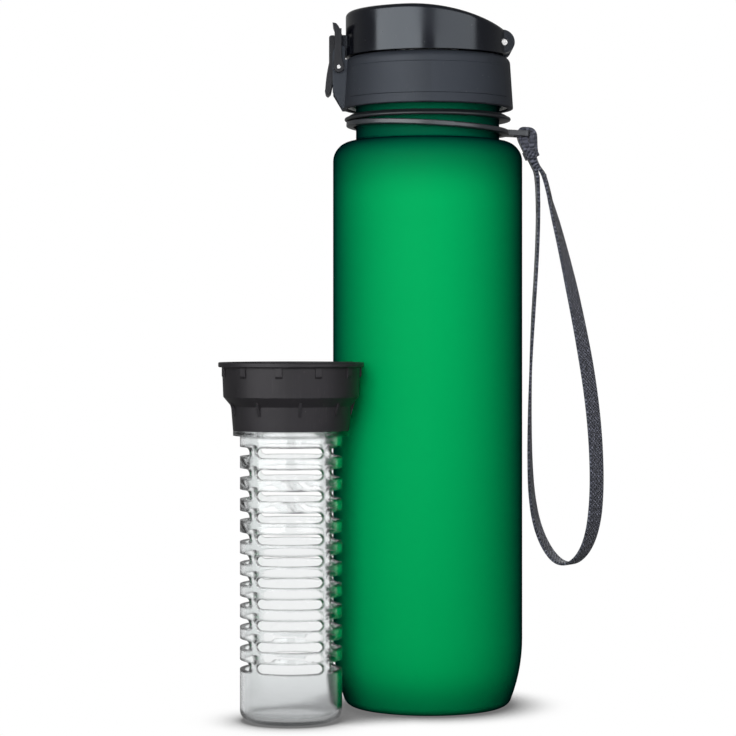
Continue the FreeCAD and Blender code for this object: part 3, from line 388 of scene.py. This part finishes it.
def floor_paper():
    """White paper: a pale floor to the object, a white field with the contact shadow to the camera."""
    paper = bpy.data.materials.new("floor_paper")
    paper.use_nodes = True
    tree = paper.node_tree
    tree.nodes.clear()
    sheet = add(tree, "ShaderNodeBsdfDiffuse", {"Color": (FLOOR_TONE, FLOOR_TONE, FLOOR_TONE, 1)})
    near = add(tree, "ShaderNodeAmbientOcclusion", {"Distance": SHADOW_REACH}, samples=12)
    shade = span(tree, near.outputs["AO"], 0.42, 0.9, DEEPEST_SHADOW, 1.0)
    lifted = maths(tree, "MAXIMUM", shade, SHADOW_IN_GLASS)
    level = seen_by(tree, 0.0, Glossy=GLOSS_FILL, Transmission=lifted, Camera=shade)
    field = add(tree, "ShaderNodeEmission", {"Color": (1, 1, 1, 1), "Strength": level})
    shown = seen_by(tree, 0.0, Glossy=1.0, Transmission=1.0, Camera=1.0)
    mix = add(tree, "ShaderNodeMixShader", {"Fac": shown, 1: sheet.outputs[0], 2: field.outputs[0]})
    add(tree, "ShaderNodeOutputMaterial", {"Surface": mix.outputs[0]})
    return paper


def soft_box(name, bearing, level, wide, high, height, distance, gloss=False):
    """A soft box of this radiance that faces the object, to light it or to be mirrored in its gloss.

    Bearing 0 is the camera's side, positive to its right.
    """
    data = bpy.data.lights.new(name, "AREA")
    data.shape = "RECTANGLE"
    data.size = wide
    data.size_y = high
    data.energy = level * wide * high * math.pi
    item = bpy.data.objects.new(name, data)
    angle = math.radians(bearing)
    item.location = (distance * math.sin(angle), -distance * math.cos(angle), height)
    fall = math.atan2(height - LIT_HEIGHT, distance)
    item.rotation_euler = (math.pi / 2 - fall, 0, angle)
    item.visible_camera = False
    item.visible_transmission = False
    item.visible_diffuse = not gloss
    item.visible_glossy = gloss
    scene.collection.objects.link(item)


room()
soft_box("box_left", -14, 5.9, wide=0.2, **LIGHTING)
soft_box("box_right", 2, 4.15, wide=0.2, **LIGHTING)
soft_box("box_back", 184, 3.9, wide=0.5, **LIGHTING)
soft_box("gloss_left", -43, 5.0, wide=1.17, **MIRRORED)
soft_box("gloss_right", 38, 2.8, wide=1.0, **MIRRORED)
ground = FLOOR_HALF * np.array([(-1, -1, 0), (1, -1, 0), (1, 1, 0), (-1, 1, 0)])
floor = add_mesh("floor", ground, np.array([(0, 1, 2, 3)]), smooth=False)
floor.data.materials.append(floor_paper())


def group(name, inputs, outputs):
    """An empty node group with these number inputs and outputs, and its two end nodes."""
    tree = bpy.data.node_groups.new(name, "ShaderNodeTree")
    for key, value in inputs.items():
        socket = tree.interface.new_socket(name=key, in_out="INPUT", socket_type="NodeSocketFloat")
        socket.default_value = value
    for key in outputs:
        tree.interface.new_socket(name=key, in_out="OUTPUT", socket_type="NodeSocketFloat")
    return tree, tree.nodes.new("NodeGroupInput").outputs, tree.nodes.new("NodeGroupOutput").inputs


def moulded_grain():
    """The skin of a moulded part: a fine spark-eroded grain as Height, and a slow unevenness as Tone."""
    inputs = {"Grain per metre": 2500.0, "Cloud per metre": 45.0}
    tree, given, out = group("moulded_grain", inputs, ("Tone", "Height"))
    place = object_place(tree)
    tree.links.new(noise(tree, place, given["Grain per metre"], 3.0), out["Height"])
    tree.links.new(noise(tree, place, given["Cloud per metre"], 4.0), out["Tone"])
    return tree


def hairline_scuffs():
    """Fine rubbed lines in patches.

    Noise is drawn out along two slants and cut to thin crests, and a cloud lets them through in places.
    """
    inputs = {"Lines per metre": 900.0, "Spread": 0.5}
    tree, given, out = group("hairline_scuffs", inputs, ("Mask",))
    place = object_place(tree)
    lines = []
    for slant in (0.5, -0.9):
        turned = {"Vector": place, "Rotation": (slant, slant / 2, slant), "Scale": (1.0, 1.0, 0.035)}
        drawn = add(tree, "ShaderNodeMapping", turned).outputs[0]
        level = noise(tree, drawn, given["Lines per metre"], 1.0)
        off = maths(tree, "ABSOLUTE", maths(tree, "SUBTRACT", level, 0.5))
        lines.append(span(tree, off, 0.012, 0.0))
    cloud = noise(tree, place, 70.0, 3.0)
    patch = span(tree, cloud, given["Spread"], maths(tree, "ADD", given["Spread"], 0.16))
    both = maths(tree, "MAXIMUM", lines[0], lines[1])
    tree.links.new(maths(tree, "MULTIPLY", both, patch), out["Mask"])
    return tree


def settled_dust():
    """Single specks: the middles of small random cells, of which only some are kept."""
    tree, given, out = group("settled_dust", {"Specks per metre": 420.0, "Share": 0.3}, ("Mask",))
    values = {"Vector": object_place(tree), "Scale": given["Specks per metre"]}
    cells = add(tree, "ShaderNodeTexVoronoi", values)
    middle = span(tree, cells.outputs["Distance"], 0.13, 0.05)
    pick = add(tree, "ShaderNodeSeparateColor", {"Color": cells.outputs["Color"]}).outputs["Red"]
    kept = maths(tree, "LESS_THAN", pick, given["Share"])
    tree.links.new(maths(tree, "MULTIPLY", middle, kept), out["Mask"])
    return tree


GRAIN = moulded_grain()
SCUFFS = hairline_scuffs()
DUST = settled_dust()


def finish(name, rough, **plain):
    """A material with one Principled shader, with numbers on its own sockets."""
    made = bpy.data.materials.new(name)
    made.use_nodes = True
    tree = made.node_tree
    shader = tree.nodes["Principled BSDF"].inputs
    shader["Roughness"].default_value = rough
    for key, value in plain.items():
        shader[key.replace("_", " ")].default_value = value
    return made, tree, shader


def place_group(tree, made, **values):
    """A node group in a material, with its own values, as its outputs."""
    item = tree.nodes.new("ShaderNodeGroup")
    item.node_tree = made
    for key, value in values.items():
        item.inputs[key.replace("_", " ")].default_value = value
    return item.outputs


def blend(tree, amount, first, second):
    """Two colours mixed by an amount that varies over the surface."""
    mix = add(tree, "ShaderNodeMix", {"Factor": amount}, data_type="RGBA")
    for socket, colour in ((mix.inputs[6], first), (mix.inputs[7], second)):
        if isinstance(colour, bpy.types.NodeSocket):
            tree.links.new(colour, socket)
        else:
            socket.default_value = (*colour, 1)
    return mix.outputs[2]


def raise_skin(tree, shader, height, depth, strength=1.0, radius=0.0):
    """Bump from a height, this many metres deep.

    Where a radius is given it lies over edges that the Bevel node rounds.
    """
    values = {"Height": height, "Distance": depth, "Strength": strength}
    if radius:
        values["Normal"] = add(tree, "ShaderNodeBevel", {"Radius": radius}, samples=4).outputs[0]
    tree.links.new(add(tree, "ShaderNodeBump", values).outputs[0], shader["Normal"])


def moulded_plastic(name, colour, rough, grain=2500.0, depth=2e-5, scuff=0.25, radius=0.00025, **plain):
    """Moulded plastic: grained skin, a slightly uneven tone, paler rubbed lines and some dust."""
    made, tree, shader = finish(name, rough, **plain)
    skin = place_group(tree, GRAIN, Grain_per_metre=grain)
    rubbed = place_group(tree, SCUFFS)["Mask"]
    dust = place_group(tree, DUST)["Mask"]
    colour = np.array(colour)
    tone = blend(tree, skin["Tone"], colour * 0.86, colour * 1.14)
    worn = blend(tree, maths(tree, "MULTIPLY", rubbed, scuff), tone, colour * 1.6 + 0.02)
    dusty = blend(tree, maths(tree, "MULTIPLY", dust, DUST_STRENGTH), worn, DUST_GREY)
    tree.links.new(dusty, shader["Base Color"])
    uneven = span(tree, skin["Tone"], 0.3, 0.7, rough - 0.05, rough + 0.05)
    rougher = maths(tree, "MULTIPLY", rubbed, 0.12 * scuff)
    tree.links.new(maths(tree, "ADD", uneven, rougher), shader["Roughness"])
    raise_skin(tree, shader, skin["Height"], depth, radius=radius)
    return made


def frosted_wall():
    """The bottle's tinted wall with its soft-touch frosting.

    It is darker at the neck and the foot: painted shade under the collar and at the heel, partly a deeper
    tone where the wall is thicker. The tinted coat deepens it where it is looked at along the wall.
    """
    made, tree, shader = finish("bottle_frosted_green", 0.5, Transmission_Weight=0.06, IOR=1.3,
                                Specular_IOR_Level=0.0, Coat_Weight=0.95, Coat_IOR=1.0,
                                Coat_Roughness=0.5, Coat_Tint=(0.55, 0.6, 0.8, 1))
    skin = place_group(tree, GRAIN, Grain_per_metre=5200.0, Cloud_per_metre=18.0)
    height = height_above_floor(tree)
    # Painted shade under the collar and at the heel, partly a deeper tone where the wall is thicker.
    neck = span(tree, height, 0.208, 0.238)
    foot = span(tree, height, 0.02, 0.0)
    thick_and_shaded = maths(tree, "MAXIMUM", neck, maths(tree, "MULTIPLY", foot, 0.6))
    tint = blend(tree, thick_and_shaded, GREEN, GREEN_THICK_AND_SHADED)
    cloudy = span(tree, skin["Tone"], 0.25, 0.75, 0.0, 0.06)
    tree.links.new(blend(tree, cloudy, tint, GREEN_CLOUD), shader["Base Color"])
    tree.links.new(span(tree, skin["Height"], 0.2, 0.8, 0.42, 0.58), shader["Roughness"])
    raise_skin(tree, shader, skin["Height"], 1.2e-5, strength=0.6)
    return made


def clear_wall():
    """The basket's clear wall: painted shade that darkens its foot, and rubbed lines that scatter light.
    """
    made, tree, shader = finish("basket_clear", 0.03, Transmission_Weight=1.0, IOR=1.5)
    rubbed = place_group(tree, SCUFFS, Spread=0.56)["Mask"]
    skin = place_group(tree, GRAIN, Grain_per_metre=400.0, Cloud_per_metre=60.0)
    # Painted shade: the clear tint darkens towards the foot.
    foot = span(tree, height_above_floor(tree), 0.03, 0.0)
    tint = blend(tree, foot, CLEAR, CLEAR_FOOT_SHADE)
    tree.links.new(blend(tree, rubbed, tint, CLEAR_RUBBED), shader["Base Color"])
    tree.links.new(maths(tree, "MULTIPLY_ADD", rubbed, 0.08, 0.01), shader["Roughness"])
    raise_skin(tree, shader, skin["Height"], 1.5e-5, radius=0.0015)
    depth = add(tree, "ShaderNodeVolumeAbsorption", {"Color": (0.5, 0.52, 0.53, 1), "Density": 80.0})
    tree.links.new(depth.outputs[0], tree.nodes["Material Output"].inputs["Volume"])
    return made


def woven_strap():
    """Webbing: a slanted twill that a second set of yarns crosses; its crests get painted highlight
    flecks.
    """
    made, tree, shader = finish("woven_webbing", 0.85, Sheen_Weight=0.25, Sheen_Roughness=0.5,
                                Specular_IOR_Level=0.2)
    place = add(tree, "ShaderNodeUVMap", uv_map="band").outputs[0]
    split = add(tree, "ShaderNodeSeparateXYZ", {"Vector": place}).outputs
    yarns = []
    for slant in (1.0, -1.0):
        way = maths(tree, "MULTIPLY_ADD", split["X"], slant, split["Y"])
        yarns.append(maths(tree, "SINE", maths(tree, "MULTIPLY", way, 2 * math.pi / YARN_PITCH)))
    twill, weft = yarns
    lift = span(tree, maths(tree, "MULTIPLY_ADD", weft, 0.7, twill), -1.7, 1.7)
    flecks = span(tree, noise(tree, place, 650.0, 3.0), 0.36, 0.66, 0.25, 1.0)
    # Painted highlight: paler where the weave is raised, in flecks.
    crest_highlight = maths(tree, "MULTIPLY", lift, flecks)
    tree.links.new(blend(tree, crest_highlight, YARN_HOLLOW, YARN_CREST_HIGHLIGHT), shader["Base Color"])
    raise_skin(tree, shader, lift, 2.2e-4)
    return made


def bright_steel():
    """Drawn steel of pins and springs: an uneven tone, and a fine grain in its gloss."""
    made, tree, shader = finish("drawn_steel", 0.25, Metallic=1.0)
    skin = place_group(tree, GRAIN, Grain_per_metre=3000.0, Cloud_per_metre=300.0)
    tree.links.new(blend(tree, skin["Tone"], STEEL_DULL, STEEL_BRIGHT), shader["Base Color"])
    tree.links.new(span(tree, skin["Height"], 0.2, 0.8, 0.16, 0.36), shader["Roughness"])
    return made


FINISHES = {
    "bottle_body": frosted_wall(),
    "neck_stop_ring": moulded_plastic("stop_ring_satin", (0.012, 0.015, 0.018), 0.4,
                                      Specular_IOR_Level=0.35),
    "strap_ring": moulded_plastic("strap_ring_satin", (0.026, 0.031, 0.038), 0.36),
    "lid_gasket": moulded_plastic("gasket_silicone", (0.62, 0.62, 0.60), 0.55, scuff=0.1),
    "spout_seal": moulded_plastic("seal_silicone", (0.60, 0.60, 0.58), 0.55, scuff=0.1),
    "lid_liner": moulded_plastic("liner_natural", (0.74, 0.75, 0.73), 0.4),
    "lid_collar": moulded_plastic("collar_matte", (0.026, 0.030, 0.039), 0.55, grain=3200.0, depth=5e-5,
                                  Specular_IOR_Level=0.2, Specular_Tint=(0.86, 0.93, 1.0, 1)),
    "cap_shell": moulded_plastic("cap_gloss", (0.005, 0.0055, 0.009), 0.2, depth=4e-6, scuff=0.4,
                                 radius=0.0004, Specular_IOR_Level=0.4,
                                 Specular_Tint=(0.84, 0.92, 1.0, 1)),
    "latch_button": moulded_plastic("button_satin", (0.008, 0.009, 0.013), 0.34,
                                    Specular_IOR_Level=0.22),
    "lock_bail": moulded_plastic("bail_satin", (0.008, 0.009, 0.013), 0.34, Specular_IOR_Level=0.22),
    "infuser_ring": moulded_plastic("ring_black", (0.021, 0.0195, 0.0225), 0.44, scuff=0.6,
                                    Specular_IOR_Level=0.16),
    "infuser_basket": clear_wall(),
}
STEEL_PIECES = ("hinge_pin", "hinge_spring", "latch_pin", "button_spring")
FINISHES.update(dict.fromkeys(STEEL_PIECES, bright_steel()))
WEBBING = woven_strap()
for name, node in nodes.items():
    node.data.materials.clear()
    node.data.materials.append(FINISHES.get(name, WEBBING))
for piece in (band, *knot):
    piece.data.materials.append(WEBBING)
neck_thread.data.materials.append(FINISHES["bottle_body"])
liner_thread.data.materials.append(FINISHES["lid_liner"])
